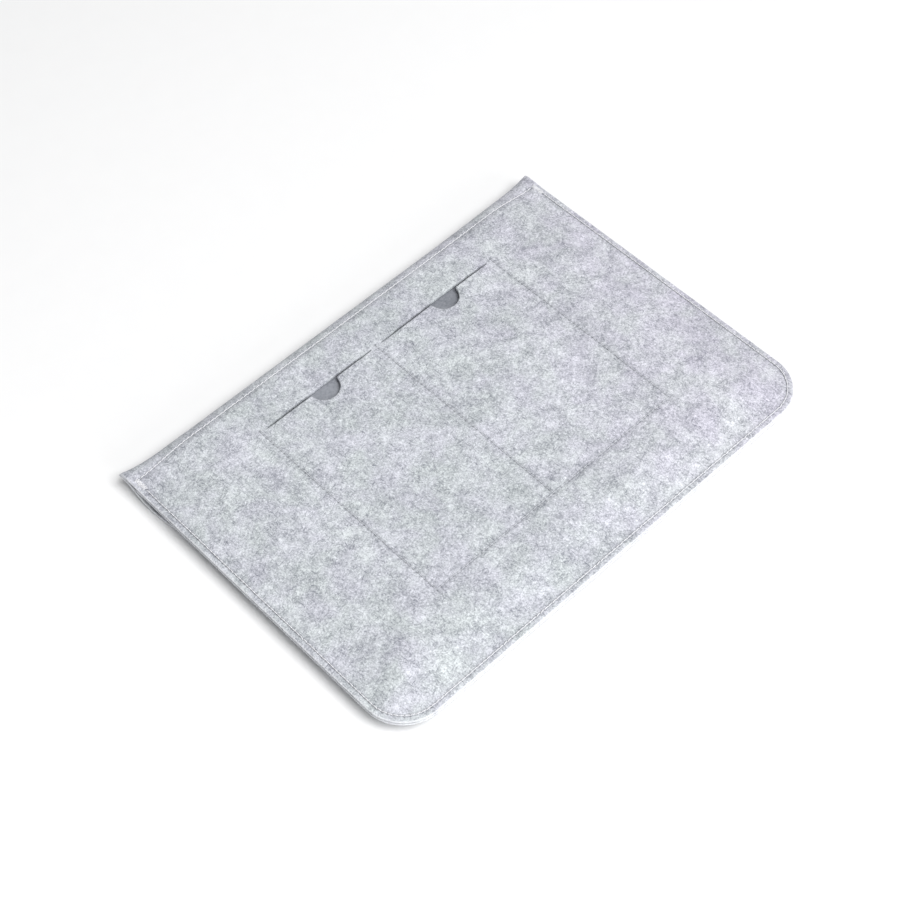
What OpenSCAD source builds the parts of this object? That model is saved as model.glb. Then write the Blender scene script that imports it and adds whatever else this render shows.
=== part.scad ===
// Felt laptop sleeve with a wrap-under flap and two set-in pockets, lying pocket side up.
// Millimetres. X runs along the folded long edge, +Y points at the fold, Z = 0 is the surface it lies on.

/* [Body] */
// Length of the folded edge
body_width = 316; // [300:1:340]
// From the bottom seam to the fold
body_depth = 228; // [215:1:240]
// Radius of the two bottom corners
corner_radius = 26; // [24:1:30]
// Thickness of the outer felt
felt = 2.2; // [2:0.1:2.6]
// Thickness of the lining cloth
lining = 0.5; // [0.4:0.1:0.8]
// Clear height between the two linings, away from the pockets
compartment_height = 8.1; // [7.9:0.1:9]
// Flat rim that the perimeter seam pinches together
rim = 6; // [5:0.5:7]
// Distance over which a panel rises from the rim to its flat middle
slope_run = 12; // [12:1:18]
// Distance from the fold to the mouth edge of the front panel
mouth_setback = 10.5; // [8:0.5:14]

/* [Flap] */
// From the fold to the free edge of the flap
flap_depth = 100; // [90:1:108]
// Radius of the two free corners of the flap
flap_corner = 26; // [15:1:35]
// How far each side of the flap slants inward on its way to the free edge
flap_taper = 8; // [0:1:15]

/* [Closure] */
// Length of each hook or loop tape
tape_length = 60; // [40:1:80]
// Width of each tape
tape_width = 20; // [16:1:25]
// Thickness of a tape
tape = 1; // [0.8:0.1:1.2]
// Distance of each tape from the middle of the sleeve
tape_offset = 85; // [60:1:100]
// Distance of the tapes from the free edge of the flap
tape_inset = 9; // [6:1:15]

/* [Pockets] */
// Left side of the card pocket, from the middle
card_side = -86; // [-95:1:-75]
// Seam shared by both pockets
divider = 1; // [-5:1:10]
// Right side of the phone pocket
phone_side = 93; // [85:1:105]
// Lower lip of both mouths
mouth_line = 78.5; // [70:0.5:84]
// Bottom seam of both pockets
pocket_bottom = -64; // [-80:1:-50]
// Width of the open slit at each mouth
slit_width = 2; // [2:0.5:5]
// Distance between the end of a slit and the seam beside it
slit_end = 4; // [3:0.5:8]
// Radius of the thumb notch
notch_radius = 9.5; // [8:0.5:12]
// Middle of the card pocket's thumb notch
card_notch = -40; // [-50:1:-30]
// Middle of the phone pocket's thumb notch
phone_notch = 53; // [40:1:60]
// Height of the empty pocket between felt and lining
pocket_room = 0.9; // [0.8:0.1:1.2]

/* [Stitching] */
// Distance from one stitch to the next
pitch = 3; // [2.5:0.25:4]
// Length of the thread that shows in one stitch
stitch_length = 2.3; // [1.8:0.1:2.4]
// Width of the thread
thread = 0.8; // [0.6:0.1:0.9]
// Distance of the perimeter seam from the edge
seam_inset = 3.5; // [3:0.25:4]
// Distance of the seam along the fold from the fold
fold_seam = 8; // [6:0.5:12]

/* [Hidden] */

$fn = 64;
nudge = 1;
cloth_gap = 0.05;
hinge_gap = 0.3;
tape_gap = 0.3;
half_width = body_width / 2;
half_depth = body_depth / 2;
corner_x = half_width - corner_radius;
corner_y = half_depth - corner_radius;

// Heights of the layers, from the surface up.
front_outer = felt + 2 * tape + tape_gap;
compartment_floor = front_outer + felt + lining;
middle_height = compartment_floor + compartment_height / 2;
rise = compartment_height / 2;
front_rim = middle_height - lining - felt;
back_rim = middle_height + lining + felt;
top_height = back_rim + rise;

// Plan of the raised middle of a panel.
base_x = half_width - rim;
base_y = half_depth - rim;
flat_x = base_x - slope_run;
flat_y = base_y - slope_run;
top_radius = max(2, corner_radius - rim - slope_run);
cone_x = flat_x - top_radius;
cone_y = flat_y - top_radius;

// The front panel lies on the flap near the fold and sinks to the surface beyond its free edge.
flap_edge = half_depth - flap_depth;
step_high = flap_edge - 7;
step_low = step_high - 18;

// Hinge lines of the folded edge.
hinge_y = half_depth - felt / 2;
upper_hinge = top_height - felt / 2;
lower_hinge = felt / 2;
panel_end = half_depth - felt - hinge_gap;
front_end = half_depth - mouth_setback;
fold_line = half_depth - fold_seam;
lining_end = fold_line + 2;
front_line = front_end - 4;

bartack_pitch = 1.1;
bartack_bars = 6;
bartack_length = 3.2;
bartack_top = fold_line;
seam_top = bartack_top - bartack_bars * bartack_pitch - 2;
seam_radius = corner_radius - seam_inset;
seam_side = seam_top + corner_y;
seam_arc = seam_radius * PI / 2;
seam_bottom = 2 * corner_x;

tape_edge = 2;
tape_corner = 2;
groove = 1;
tape_low = flap_edge + tape_inset;

FELT = [0.82, 0.83, 0.86];
FELT_UNDER = [0.76, 0.77, 0.80];
CLOTH = [0.62, 0.64, 0.68];
THREAD = [0.93, 0.93, 0.94];
TAPE = [0.70, 0.71, 0.74];

// ---- plan outlines ----

module body_outline(end) {
    translate([-half_width, -corner_y]) square([body_width, end + corner_y]);
    translate([-corner_x, -half_depth]) square([2 * corner_x, corner_radius + nudge]);
    for (side = [-1, 1]) translate([side * corner_x, -corner_y]) circle(corner_radius, $fn = 96);
}

module rounded_rectangle(width, depth, radius) {
    square([width - 2 * radius, depth], center = true);
    square([width, depth - 2 * radius], center = true);
    for (x = [-1, 1]) for (y = [-1, 1])
        translate([x * (width / 2 - radius), y * (depth / 2 - radius)]) circle(radius, $fn = 32);
}

// ---- raised middle of a panel: flat top, sloped on three sides, open at the fold ----

module along_y(from, to) {
    translate([0, to, 0]) rotate([90, 0, 0]) linear_extrude(to - from) children();
}

module along_x(half_length) {
    rotate([90, 0, 90]) linear_extrude(2 * half_length, center = true) children();
}

module raised_middle(height, end) {
    along_y(-cone_y, end)
        polygon([[-base_x, -nudge], [base_x, -nudge], [base_x, 0], [flat_x, height],
            [-flat_x, height], [-base_x, 0]]);
    along_x(cone_x)
        polygon([[-base_y, -nudge], [end, -nudge], [end, height], [-flat_y, height], [-base_y, 0]]);
    for (side = [-1, 1]) translate([side * cone_x, -cone_y, 0]) {
        cylinder(h = height, r1 = top_radius + slope_run, r2 = top_radius, $fn = 96);
        translate([0, 0, -nudge]) cylinder(h = nudge, r = top_radius + slope_run, $fn = 96);
    }
}

// The front panel's middle, hanging down from the rim: shallow over the flap, deep beyond it.
module sunk_middle(end) {
    deep = rise + front_outer;
    ramp = (step_high - step_low) / front_outer;
    mirror([0, 0, 1]) {
        raised_middle(rise, end);
        intersection() {
            raised_middle(deep, end - nudge);
            along_x(half_width)
                polygon([[-half_depth, -2 * nudge], [step_low + (deep + 2 * nudge) * ramp, -2 * nudge],
                    [step_low - nudge * ramp, deep + nudge], [-half_depth, deep + nudge]]);
        }
    }
}

// ---- pockets ----

module pocket_pair() {
    for (span = [[card_side, divider, card_notch], [divider, phone_side, phone_notch]]) {
        $left = span[0];
        $right = span[1];
        $notch = span[2];
        children();
    }
}

module pocket_mouth(left, right, notch) {
    middle = (left + right) / 2;
    reach = (right - left) / 2 - slit_end - slit_width / 2;
    lip = mouth_line + slit_width / 2;
    translate([middle - reach, mouth_line]) square([2 * reach, slit_width]);
    for (side = [-1, 1]) translate([middle + side * reach, lip]) circle(slit_width / 2, $fn = 32);
    intersection() {
        translate([notch, mouth_line]) circle(notch_radius);
        translate([notch - notch_radius, mouth_line - notch_radius - nudge])
            square([2 * notch_radius, notch_radius + 2 * nudge]);
    }
}

module pocket_plan(margin) {
    pocket_pair()
        translate([$left + margin, pocket_bottom + margin])
            square([$right - $left - 2 * margin, mouth_line + slit_width + 6 - pocket_bottom - margin]);
}

// ---- stitches ----

// One stitch along X, its flat side on z = 0.
module stitch(length = stitch_length) {
    rotate([90, 0, 90]) linear_extrude(length, center = true) intersection() {
        circle(d = thread, $fn = 16);
        translate([-thread, 0]) square([2 * thread, thread]);
    }
}

module stitch_row(from, to) {
    count = floor(norm(to - from) / pitch);
    heading = atan2(to[1] - from[1], to[0] - from[0]);
    for (i = [0 : count - 1])
        translate(from + (to - from) * (i + 0.5) / count) rotate(heading) stitch();
}

function seam_point(s) =
    s < seam_side ? [-half_width + seam_inset, seam_top - s, 90]
    : s < seam_side + seam_arc ?
        let (a = 180 + 90 * (s - seam_side) / seam_arc)
        [-corner_x + seam_radius * cos(a), -corner_y + seam_radius * sin(a), a + 90]
    : s < seam_side + seam_arc + seam_bottom ?
        [-corner_x + s - seam_side - seam_arc, -half_depth + seam_inset, 0]
    : s < seam_side + 2 * seam_arc + seam_bottom ?
        let (a = 270 + 90 * (s - seam_side - seam_arc - seam_bottom) / seam_arc)
        [corner_x + seam_radius * cos(a), -corner_y + seam_radius * sin(a), a + 90]
    : [half_width - seam_inset, s - seam_side - 2 * seam_arc - seam_bottom - corner_y, 90];

module perimeter_row() {
    whole = 2 * seam_side + 2 * seam_arc + seam_bottom;
    count = floor(whole / pitch);
    for (i = [0 : count - 1]) {
        p = seam_point((i + 0.5) * whole / count);
        translate([p[0], p[1], 0]) rotate(p[2]) stitch();
    }
}

// A row across the sleeve on one line, following the slopes at both ends.
module cross_row(line) {
    reach = base_x;
    count = floor(2 * reach / pitch);
    for (i = [0 : count - 1]) {
        x = -reach + (i + 0.5) * 2 * reach / count;
        outer = abs(x) + stitch_length / 2;
        inner = abs(x) - stitch_length / 2;
        if (outer < flat_x) translate([x, line, rise]) stitch();
        if (inner > flat_x && outer < base_x)
            translate([x, line, rise * (base_x - abs(x)) / slope_run])
                rotate([0, sign(x) * atan(rise / slope_run), 0]) stitch();
    }
}

module tape_row() {
    x = tape_length / 2 - tape_edge;
    y = tape_width / 2 - tape_edge;
    stitch_row([-x + pitch / 2, -y], [x - pitch / 2, -y]);
    stitch_row([-x + pitch / 2, y], [x - pitch / 2, y]);
    stitch_row([-x, -y + pitch / 2], [-x, y - pitch / 2]);
    stitch_row([x, -y + pitch / 2], [x, y - pitch / 2]);
}

// ---- closure tapes ----

module tape_places() {
    for (side = [-1, 1]) translate([side * tape_offset, tape_low + tape_width / 2, 0]) children();
}

// One tape, with the shallow channel that its stitching pulls into it.
module tape_piece() {
    difference() {
        linear_extrude(tape) rounded_rectangle(tape_length, tape_width, tape_corner);
        translate([0, 0, tape - thread / 2]) linear_extrude(thread) difference() {
            square([tape_length - 2 * tape_edge + groove, tape_width - 2 * tape_edge + groove], center = true);
            square([tape_length - 2 * tape_edge - groove, tape_width - 2 * tape_edge - groove], center = true);
        }
    }
}

// ---- sub-parts ----

// Outer panel on the pocket side, with two slit mouths and their thumb notches.
module back_felt() color(FELT) difference() {
    union() {
        translate([0, 0, back_rim - felt]) linear_extrude(felt) body_outline(panel_end);
        translate([0, 0, back_rim]) raised_middle(rise, panel_end);
    }
    translate([0, 0, back_rim - felt]) raised_middle(rise, panel_end + nudge);
    translate([0, 0, middle_height]) linear_extrude(top_height) pocket_pair() pocket_mouth($left, $right, $notch);
}

// Strip of felt that wraps the long edge, free to bend along its upper and lower lines.
module fold_felt() color(FELT) {
    shoulder = base_x - slope_run * (upper_hinge - back_rim) / rise;
    along_y(half_depth - felt, half_depth)
        polygon([[-half_width, lower_hinge], [half_width, lower_hinge], [half_width, back_rim],
            [base_x, back_rim], [shoulder, upper_hinge], [-shoulder, upper_hinge],
            [-base_x, back_rim], [-half_width, back_rim]]);
    translate([0, hinge_y, lower_hinge]) rotate([0, 90, 0])
        cylinder(h = body_width, d = felt, center = true);
    translate([0, hinge_y, upper_hinge]) rotate([0, 90, 0])
        cylinder(h = 2 * flat_x, d = felt, center = true);
}

// Flap under the sleeve. Its sides run from the fold to where they touch the rounded free corners.
module flap_felt() color(FELT_UNDER) {
    centre = [half_width - flap_taper - flap_corner, flap_edge + flap_corner];
    start = [half_width, panel_end];
    away = norm(start - centre);
    angle = atan2(start[1] - centre[1], start[0] - centre[0]) - acos(flap_corner / away);
    touch = centre + flap_corner * [cos(angle), sin(angle)];
    linear_extrude(felt)
        polygon([[-start[0], start[1]], start, touch, [centre[0], flap_edge], [-centre[0], flap_edge],
            [-touch[0], touch[1]]]);
    for (side = [-1, 1])
        translate([side * centre[0], centre[1], 0]) cylinder(h = felt, r = flap_corner, $fn = 96);
}

// Outer panel on the flap side.
module front_felt() color(FELT_UNDER) difference() {
    union() {
        translate([0, 0, front_rim]) linear_extrude(felt) body_outline(front_end);
        translate([0, 0, front_rim]) sunk_middle(front_end);
    }
    translate([0, 0, front_rim + felt]) sunk_middle(front_end + nudge);
}

// Lining behind the back panel. It is also the rear wall of both pockets.
module back_lining() color(CLOTH) {
    skin = back_rim - felt - cloth_gap;
    pocket_floor = skin - lining + rise - pocket_room;
    difference() {
        union() {
            translate([0, 0, middle_height]) linear_extrude(lining) body_outline(lining_end);
            translate([0, 0, skin]) raised_middle(rise, lining_end);
        }
        difference() {
            translate([0, 0, skin - lining]) raised_middle(rise, lining_end + nudge);
            translate([0, 0, pocket_floor]) linear_extrude(pocket_room + nudge) pocket_plan(1);
        }
        translate([0, 0, pocket_floor + lining]) linear_extrude(top_height) pocket_plan(1 + lining);
    }
}

// Lining behind the front panel.
module front_lining() color(CLOTH) difference() {
    union() {
        translate([0, 0, front_rim + felt]) linear_extrude(lining) body_outline(front_end - nudge);
        translate([0, 0, front_rim + felt + cloth_gap]) sunk_middle(front_end - nudge);
    }
    translate([0, 0, front_rim + felt + lining + cloth_gap]) sunk_middle(front_end + nudge);
    translate([0, 0, middle_height]) linear_extrude(nudge) body_outline(front_end);
}

// Needle thread of the seam that joins both panels on three sides.
module perimeter_stitching() color(THREAD) translate([0, 0, back_rim]) perimeter_row();

// The same seam seen from below.
module perimeter_under_stitching() color(THREAD)
    translate([0, 0, front_rim]) mirror([0, 0, 1]) perimeter_row();

// Seam along the fold that holds the upper edge of the back lining.
module fold_stitching() color(THREAD) translate([0, 0, back_rim]) cross_row(fold_line);

// Seam along the mouth edge of the front panel.
module mouth_stitching() color(THREAD)
    translate([0, 0, front_rim]) mirror([0, 0, 1]) cross_row(front_line);

// Outer side seam of the card pocket.
module card_pocket_stitching() color(THREAD) translate([0, 0, top_height])
    stitch_row([card_side, mouth_line + slit_width], [card_side, pocket_bottom]);

// Seam between the two pockets.
module divider_stitching() color(THREAD) translate([0, 0, top_height])
    stitch_row([divider, mouth_line + slit_width], [divider, pocket_bottom]);

// Outer side seam of the phone pocket.
module phone_pocket_stitching() color(THREAD) translate([0, 0, top_height])
    stitch_row([phone_side, mouth_line + slit_width], [phone_side, pocket_bottom]);

// Seam below both pockets.
module pocket_bottom_stitching() color(THREAD) translate([0, 0, top_height])
    stitch_row([card_side, pocket_bottom - thread], [phone_side, pocket_bottom - thread]);

// Close bars of thread that lock both ends of the perimeter seam at the fold.
module corner_bartacks() color(THREAD)
    for (side = [-1, 1]) for (i = [0 : bartack_bars - 1])
        translate([side * (half_width - seam_inset), bartack_top - (i + 0.5) * bartack_pitch, back_rim])
            stitch(bartack_length);

// Hook tapes on the inner face of the flap.
module hook_tapes() color(TAPE) translate([0, 0, felt]) tape_places() tape_piece();

// Loop tapes on the outer face of the front panel.
module loop_tapes() color(TAPE)
    translate([0, 0, front_outer]) mirror([0, 0, 1]) tape_places() tape_piece();

// Stitching that holds the hook tapes.
module hook_tape_stitching() color(THREAD)
    translate([0, 0, felt + tape - thread / 2]) tape_places() tape_row();

// Stitching that holds the loop tapes.
module loop_tape_stitching() color(THREAD)
    translate([0, 0, front_outer - tape + thread / 2]) mirror([0, 0, 1]) tape_places() tape_row();

back_felt();
fold_felt();
flap_felt();
front_felt();
back_lining();
front_lining();
perimeter_stitching();
perimeter_under_stitching();
fold_stitching();
mouth_stitching();
card_pocket_stitching();
divider_stitching();
phone_pocket_stitching();
pocket_bottom_stitching();
corner_bartacks();
hook_tapes();
loop_tapes();
hook_tape_stitching();
loop_tape_stitching();
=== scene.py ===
import math

import bpy
import numpy as np
from mathutils import Matrix, Vector
from mathutils.geometry import delaunay_2d_cdt
from mathutils.kdtree import KDTree


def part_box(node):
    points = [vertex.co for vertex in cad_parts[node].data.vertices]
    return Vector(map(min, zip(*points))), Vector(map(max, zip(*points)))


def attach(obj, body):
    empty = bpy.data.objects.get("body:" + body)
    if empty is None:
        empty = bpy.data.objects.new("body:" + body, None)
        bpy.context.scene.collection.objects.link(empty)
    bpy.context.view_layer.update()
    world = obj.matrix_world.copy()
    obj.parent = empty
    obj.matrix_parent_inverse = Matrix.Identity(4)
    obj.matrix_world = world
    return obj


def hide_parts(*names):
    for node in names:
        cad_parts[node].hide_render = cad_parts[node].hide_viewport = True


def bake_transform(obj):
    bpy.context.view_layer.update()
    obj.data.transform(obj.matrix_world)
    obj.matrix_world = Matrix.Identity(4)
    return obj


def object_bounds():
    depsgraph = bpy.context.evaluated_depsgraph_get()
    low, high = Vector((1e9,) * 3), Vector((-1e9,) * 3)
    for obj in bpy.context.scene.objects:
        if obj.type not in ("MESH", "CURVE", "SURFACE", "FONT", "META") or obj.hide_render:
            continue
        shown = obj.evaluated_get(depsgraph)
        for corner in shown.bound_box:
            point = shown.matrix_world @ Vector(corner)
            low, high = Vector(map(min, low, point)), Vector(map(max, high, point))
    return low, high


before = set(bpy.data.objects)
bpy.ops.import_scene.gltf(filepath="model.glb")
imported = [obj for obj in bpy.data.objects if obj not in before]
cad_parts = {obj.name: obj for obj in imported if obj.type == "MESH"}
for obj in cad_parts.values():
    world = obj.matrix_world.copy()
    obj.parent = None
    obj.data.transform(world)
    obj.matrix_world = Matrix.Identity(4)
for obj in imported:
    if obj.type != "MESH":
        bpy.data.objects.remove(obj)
CAD_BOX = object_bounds()

MM = 0.001
UV_UNIT = 100.0  # one unit of the stored map is 100 mm of cloth
rng = np.random.default_rng(20)


# ---- sizes in millimetres, from the CAD boxes ----


def span(node):
    low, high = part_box(node)
    return np.array(low) / MM, np.array(high) / MM


back_low, back_high = span("back_felt")
_, front_high = span("front_felt")
flap_low, flap_high = span("flap_felt")
_, lining_high = span("back_lining")
HALF_X = back_high[0]
HALF_Y = -back_low[1]
FELT = flap_high[2] - flap_low[2]
RIM_TOP = back_low[2] + FELT
RISE = back_high[2] - RIM_TOP
FRONT_RIM = front_high[2] - FELT
MOUTH = front_high[1]
FLAP_EDGE = flap_low[1]
LINING_END = lining_high[1]

# These repeat part.scad's sizes.
CORNER = 26.0
SEAM_INSET = 3.5
PITCH = 3.0
FOLD_SEAM = 106.0
MOUTH_SEAM = 99.5
SEAM_TOP = 97.4
CARD_SIDE, DIVIDER, PHONE_SIDE = -86.0, 1.0, 93.0
POCKET_BOTTOM = -64.0
SLIT = 78.5
SLIT_OPEN = 2.0
SLIT_END = 4.0
NOTCH = 9.5
CARD_NOTCH, PHONE_NOTCH = -40.0, 53.0
POCKET_ROOM = 0.9
FLAP_CORNER = 26.0
FLAP_TAPER = 8.0
TAPE_X, TAPE_LENGTH, TAPE_WIDTH = 85.0, 60.0, 20.0
TAPE_Y = FLAP_EDGE + 9 + TAPE_WIDTH / 2
BARTACK_X = HALF_X - SEAM_INSET

# These are this model's own.
LINING = 0.32  # part.scad has 0.5, and less leaves air between the layers
LINING_GAP = 0.12
LINING_INSET = 1.0
TAPE_BASE = 0.42
EDGE = 0.8  # how far the rounding of a cut felt edge reaches in
ROWS_PER_STITCH = 4

# The bend: it starts at BEND on the pocket side and ends below BEND on the flap.
BEND = 100.0
NOSE_Y = HALF_Y + 0.3
CREASE_LOW = 8.4
CREASE_REACH = 42.0
CURL_REACH = 28.0


def ease(t):
    t = np.clip(t, 0, 1)
    return t * t * (3 - 2 * t)


def edge_distance(x, y):
    """Distance in from the left, right and bottom edges of the outline."""
    qx, qy = np.abs(x) - (HALF_X - CORNER), -y - (HALF_Y - CORNER)
    outside = np.hypot(np.maximum(qx, 0), np.maximum(qy, 0))
    return CORNER - outside - np.minimum(np.maximum(qx, qy), 0)


def pillow(x, y):
    """0 on the pinched rim, 1 on the raised middle. The rise is longer towards the fold."""
    return ease((edge_distance(x, y) - 4.5) / (27 + 10 * ease((y - 30) / 60)))


def pinch(x, y):
    """How much thinner the seam presses the felt near its cut edge."""
    far = edge_distance(x, y)
    return 0.6 * (1 - ease(far / 3.6)) + 0.25 * (1 - ease(far / 8))


def front_outer(x, y):
    """Height of the front panel's outer face: over the flap near the fold, on the table beyond it."""
    raised = pillow(x, y)
    return FRONT_RIM - RISE * raised - (FRONT_RIM - RISE) * raised * ease((9 - y) / 22)


def flap_lift(x, y):
    """Height of the flap's outer face, which curls up to the crease at both ends of the fold."""
    away = np.hypot((HALF_X - np.abs(x)) / CREASE_REACH, np.maximum(HALF_Y - 1 - y, 0) / CURL_REACH)
    curl = CREASE_LOW * np.clip(1 - away, 0, 1) ** 1.7
    room = front_outer(x, y) - FELT - 0.25
    soft = 0.35
    return np.maximum(-soft * np.log(np.exp(-curl / soft) + np.exp(-room / soft)), 0)


def crease_low(x):
    return CREASE_LOW * np.clip(1 - (HALF_X - np.abs(x)) / CREASE_REACH, 0, 1) ** 1.7


# ---- the long felt piece: pocket side, round the fold, flap ----


def section_tables():
    """Half sections of the bend, above and below its outermost line, at equal steps of their length."""
    xs = np.linspace(-HALF_X - 2, HALF_X + 2, 161)
    steps = 49
    upper, lower = np.zeros((len(xs), steps, 2)), np.zeros((len(xs), steps, 2))
    phi = np.linspace(0, math.pi / 2, 60)
    for i, x in enumerate(xs):
        side = min(abs(x), HALF_X)
        top = RIM_TOP + RISE * float(pillow(np.array(side), np.array(90.0)))
        low = float(crease_low(side))
        half, middle = (top - low) / 2, (top + low) / 2
        reach, flare, tip = (90, 2.0, 1.0) if x > 0 else (58, 1.5, 1.9)
        nose = NOSE_Y + flare * max(0, (side - HALF_X + reach) / reach) ** 2
        nose += tip * max(0, (side - HALF_X + 26) / 26) ** 2
        depth = 4.0 + 8.0 * np.clip((half - 2.8) / 6.2, 0, 1)
        centre = nose - depth
        run = np.linspace(BEND, centre, 12)[:-1]
        above = np.r_[
            np.c_[run, np.full(len(run), top)],
            np.c_[centre + depth * np.sin(phi), middle + half * np.cos(phi)],
        ]
        run = np.linspace(centre, BEND, 14)[1:]
        flat = flap_lift(np.full(len(run), side), run)
        share = ease((centre - run) / (centre - MOUTH))
        below = np.r_[
            np.c_[
                centre + depth * np.cos(phi),
                middle - half * np.sin(phi),
            ],
            np.c_[run, low + (flat - low) * share],
        ]
        for table, line in ((upper, above), (lower, below)):
            along = np.r_[0, np.cumsum(np.hypot(*np.diff(line, axis=0).T))]
            at = np.linspace(0, along[-1], steps)
            table[i, :, 0] = np.interp(at, along, line[:, 0])
            table[i, :, 1] = np.interp(at, along, line[:, 1])
    middle = upper[len(xs) // 2]
    return xs, upper, lower, np.hypot(*np.diff(middle, axis=0).T).sum()


SECTION_X, UPPER, LOWER, HALF_ARC = section_tables()
NOSE = BEND + HALF_ARC
RETURN = NOSE + HALF_ARC
FLAP_END = RETURN + BEND - FLAP_EDGE


def look_up(table, x, share):
    """Bilinear value of a section table at x and a share of its length."""
    columns, steps = table.shape[:2]
    u = np.clip((x - SECTION_X[0]) / (SECTION_X[1] - SECTION_X[0]), 0, columns - 1.001)
    v = np.clip(share, 0, 1) * (steps - 1.001)
    i, j = u.astype(int), v.astype(int)
    fu, fv = (u - i)[:, None], (v - j)[:, None]
    top = table[i, j] * (1 - fu) + table[i + 1, j] * fu
    low = table[i, j + 1] * (1 - fu) + table[i + 1, j + 1] * fu
    return top * (1 - fv) + low * fv


def wrap_base(x, s):
    """Outer face of the long piece. s is y on the pocket side and runs on round the bend."""
    y, z = s.copy(), RIM_TOP + RISE * pillow(x, np.minimum(s, 90))
    bend = (s > BEND) & (s <= NOSE)
    if bend.any():
        y[bend], z[bend] = look_up(UPPER, x[bend], (s[bend] - BEND) / HALF_ARC).T
    bend = (s > NOSE) & (s < RETURN)
    if bend.any():
        y[bend], z[bend] = look_up(LOWER, x[bend], (s[bend] - NOSE) / HALF_ARC).T
    under = s >= RETURN
    y[under] = BEND - (s[under] - RETURN)
    z[under] = flap_lift(x[under], y[under])
    return np.c_[x, y, z]


def front_base(x, y):
    return np.c_[x, y, front_outer(x, y)]


# ---- relief: felt puffs up a little between its seams ----


def pocket_line_distance(x, y):
    """Distance to the nearest pocket seam."""
    below_mouth = np.maximum(np.maximum(POCKET_BOTTOM - y, y - SLIT - SLIT_OPEN), 0)
    beside = np.maximum(np.maximum(CARD_SIDE - x, x - PHONE_SIDE), 0)
    sides = [np.hypot(x - side, below_mouth) for side in (CARD_SIDE, DIVIDER, PHONE_SIDE)]
    return np.minimum.reduce([*sides, np.hypot(y - POCKET_BOTTOM, beside)])


def press_cloth(name, top, held, pressure):
    """Puffs a flat cloth held along its seams, and gives its height as a share of the highest point."""
    cell = 5.0
    xs = np.arange(-HALF_X, HALF_X + cell, cell)
    ys = np.arange(-HALF_Y, top + cell, cell)
    gx, gy = np.meshgrid(xs, ys, indexing="ij")
    nx, ny = gx.shape
    pin = held(gx.ravel(), gy.ravel())
    verts = np.c_[gx.ravel(), gy.ravel(), np.zeros(nx * ny)] * MM
    index = np.arange(nx * ny).reshape(nx, ny)
    faces = np.c_[
        index[:-1, :-1].ravel(), index[1:, :-1].ravel(), index[1:, 1:].ravel(), index[:-1, 1:].ravel()
    ]
    mesh = bpy.data.meshes.new(name)
    mesh.from_pydata(verts.tolist(), [], faces.tolist())
    cloth = bpy.data.objects.new(name, mesh)
    bpy.context.scene.collection.objects.link(cloth)
    group = cloth.vertex_groups.new(name="held")
    for i, weight in enumerate(pin):
        if weight > 0.02:
            group.add([i], float(weight), "REPLACE")
    modifier = cloth.modifiers.new("press", "CLOTH")
    settings = modifier.settings
    settings.quality = 6
    settings.mass = 0.25
    settings.tension_stiffness = settings.compression_stiffness = 18
    settings.shear_stiffness = 8
    settings.bending_stiffness = 0.8
    settings.vertex_group_mass = "held"
    settings.use_pressure = True
    settings.uniform_pressure_force = pressure
    settings.effector_weights.gravity = 0
    modifier.collision_settings.use_collision = False
    modifier.point_cache.frame_start, modifier.point_cache.frame_end = 1, 24
    for step in range(1, 25):
        bpy.context.scene.frame_set(step)
    shape = cloth.evaluated_get(bpy.context.evaluated_depsgraph_get()).data
    co = np.zeros(nx * ny * 3, np.float32)
    shape.vertices.foreach_get("co", co)
    height = np.abs(co.reshape(-1, 3)[:, 2])
    bpy.data.objects.remove(cloth)
    bpy.data.meshes.remove(mesh)
    bpy.context.scene.frame_set(1)
    return xs, ys, (height / max(np.percentile(height, 99), 1e-9)).clip(0, 1.15).reshape(nx, ny)


def sample_grid(grid, x, y):
    xs, ys, values = grid
    u = np.clip((x - xs[0]) / (xs[1] - xs[0]), 0, len(xs) - 1.001)
    v = np.clip((y - ys[0]) / (ys[1] - ys[0]), 0, len(ys) - 1.001)
    i, j = u.astype(int), v.astype(int)
    fu, fv = ease(u - i), ease(v - j)
    low = values[i, j] * (1 - fu) + values[i + 1, j] * fu
    high = values[i, j + 1] * (1 - fu) + values[i + 1, j + 1] * fu
    return low * (1 - fv) + high * fv


def near(distance, reach):
    return np.exp(-((distance / reach) ** 2))


def back_held(x, y):
    rim = ease((9 - edge_distance(x, y)) / 6)
    fold = ease((y - 100) / 5)
    return np.clip(np.maximum.reduce([rim, fold, 0.5 * near(pocket_line_distance(x, y), 4)]), 0, 1)


BACK_PUFF = press_cloth("back_press", 108, back_held, 3)
WAVES = [
    (rng.uniform(0, 2 * math.pi), 2 * math.pi / rng.uniform(38, 120), rng.uniform(0, 2 * math.pi))
    for _ in range(9)
]


def waves(x, y):
    """Slow uneven swell of a panel, about -1 to 1."""
    total = sum(np.sin((x * math.cos(a) + y * math.sin(a)) * k + p) for a, k, p in WAVES)
    return total / 4.2


def lip_rise(x, y):
    """The felt under a pocket mouth stands a little proud, as it does after use."""
    total = np.zeros_like(x)
    for left, right in ((CARD_SIDE, DIVIDER), (DIVIDER, PHONE_SIDE)):
        across = ease((x - left) / 22) * ease((right - x) / 22)
        below = np.where(y < SLIT + 1, np.exp(-np.maximum(SLIT - y, 0) / 7), 0)
        total += across * 0.45 * below
    return total


def cloth_relief(x, s):
    """Swell that the pocket side's felt and its lining share."""
    y = np.minimum(s, 108)
    inner = ease((edge_distance(x, y) - 3) / 12) * ease((107 - s) / 20)
    return (0.55 * sample_grid(BACK_PUFF, x, y) + 0.3 * waves(x, y)) * inner


def back_relief(x, s):
    return cloth_relief(x, s) + lip_rise(x, s) * (s < 104)


def back_squeeze(x, s):
    return pinch(x, np.minimum(s, 108)) * ease((112 - s) / 12)


def front_squeeze(x, y):
    return pinch(x, y) * ease((MOUTH + 2 - y) / 12)


# ---- seams: where each needle hole is ----


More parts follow.
